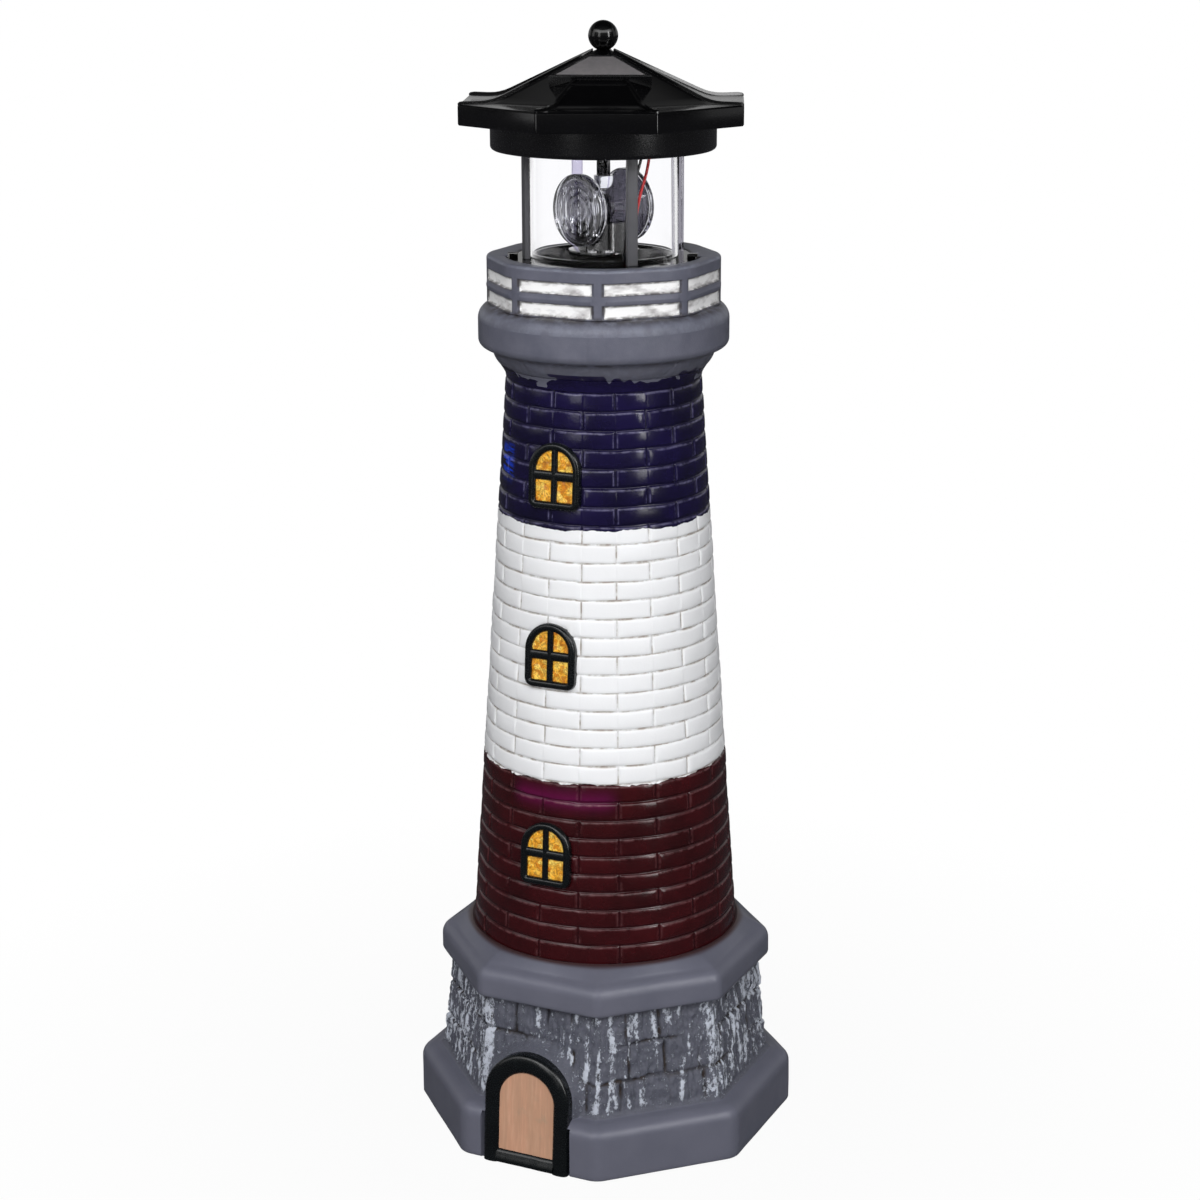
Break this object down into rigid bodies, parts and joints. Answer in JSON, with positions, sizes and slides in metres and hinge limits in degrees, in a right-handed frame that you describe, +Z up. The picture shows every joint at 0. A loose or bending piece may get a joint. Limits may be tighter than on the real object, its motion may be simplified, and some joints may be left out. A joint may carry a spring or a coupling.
{
  "type": "solar garden lighthouse",
  "caption": "Painted brick garden lighthouse on a stone base, with a lift-out solar lantern and a motor-turned beacon with two lenses.",
  "frame": {"origin": "centre of the footprint on the ground", "axes": "+Z up; the door and the windows face -Y"},
  "size_m": [0.1396, 0.1416, 0.4301],
  "materials": {
    "stone_grey": "matte, dry-brushed white",
    "brick_paint": "matte, painted in red, white and blue bands",
    "grey_paint": "matte, dry-brushed white",
    "frame_black": "satin",
    "door_wood": "matte, painted wood grain",
    "amber_pane": "satin, mottled",
    "black_plastic": "satin",
    "roof_black": "glossy",
    "post_grey": "satin",
    "post_frosted": "frosted, translucent",
    "clear_plastic": "clear",
    "solar_cell": "glossy",
    "steel": "bright",
    "brass": "satin",
    "white_nylon": "satin",
    "motor_steel": "brushed",
    "board_green": "satin",
    "cell_green": "glossy",
    "rubber_black": "matte",
    "wire_red": "satin",
    "wire_black": "satin"
  },
  "bodies": {
    "tower": {"base_shell": "stone_grey", "bottom_cover": "black_plastic", "cover_screws": "steel", "foot_pad_1": "rubber_black", "foot_pad_2": "rubber_black", "foot_pad_3": "rubber_black", "foot_pad_4": "rubber_black", "tower_shell": "brick_paint", "gallery_deck": "grey_paint", "door_frame": "frame_black", "door_panel": "door_wood", "window_frame_low": "frame_black", "window_frame_mid": "frame_black", "window_frame_high": "frame_black", "window_pane_low": "amber_pane", "window_pane_mid": "amber_pane", "window_pane_high": "amber_pane"},
    "lantern": {"lantern_base": "black_plastic", "lantern_glass": "clear_plastic", "post_1": "post_grey", "post_2": "post_grey", "post_3": "post_frosted", "post_4": "post_grey", "ceiling_plate": "black_plastic", "roof_collar": "black_plastic", "roof_shell": "roof_black", "solar_frame": "roof_black", "solar_panel": "solar_cell", "finial": "roof_black", "lamp_holder": "black_plastic", "lamp_lens": "clear_plastic", "shaft_bush": "brass", "motor_plate": "white_nylon", "motor": "motor_steel", "circuit_board": "board_green", "battery": "cell_green", "contact_spring": "steel", "contact_plate": "steel", "lower_cover": "black_plastic", "lower_cover_screws": "steel", "switch_body": "black_plastic", "wire_red": "wire_red", "wire_black": "wire_black"},
    "beacon": {"turntable": "black_plastic", "eyelets": "steel", "beacon_gear": "white_nylon", "reflector_front": "clear_plastic", "reflector_rear": "clear_plastic", "lens_front": "clear_plastic", "lens_rear": "clear_plastic"},
    "pinion": {"motor_pinion": "white_nylon"},
    "hatch": {"battery_hatch": "black_plastic"},
    "slider": {"switch_slider": "white_nylon"}
  },
  "joints": [
    {"name": "lantern_lift", "type": "slide", "parent": "tower", "child": "lantern", "axis": [0, 0, 1], "range_m": [0, 0.07]},
    {"name": "beacon_spin", "type": "hinge", "parent": "lantern", "child": "beacon", "pos_m": [0, 0, 0.34], "axis": [0, 0, 1], "continuous": true},
    {"name": "pinion_spin", "type": "hinge", "parent": "lantern", "child": "pinion", "pos_m": [-0.0168, 0, 0.33], "axis": [0, 0, 1], "continuous": true},
    {"name": "hatch_drop", "type": "slide", "parent": "lantern", "child": "hatch", "axis": [0, 0, -1], "range_m": [0, 0.02]},
    {"name": "switch_slide", "type": "slide", "parent": "lantern", "child": "slider", "axis": [0, 1, 0], "range_m": [0, 0.003]}
  ],
  "couplings": [
    {"joint": "pinion_spin", "follows": "beacon_spin", "ratio": -3}
  ]
}
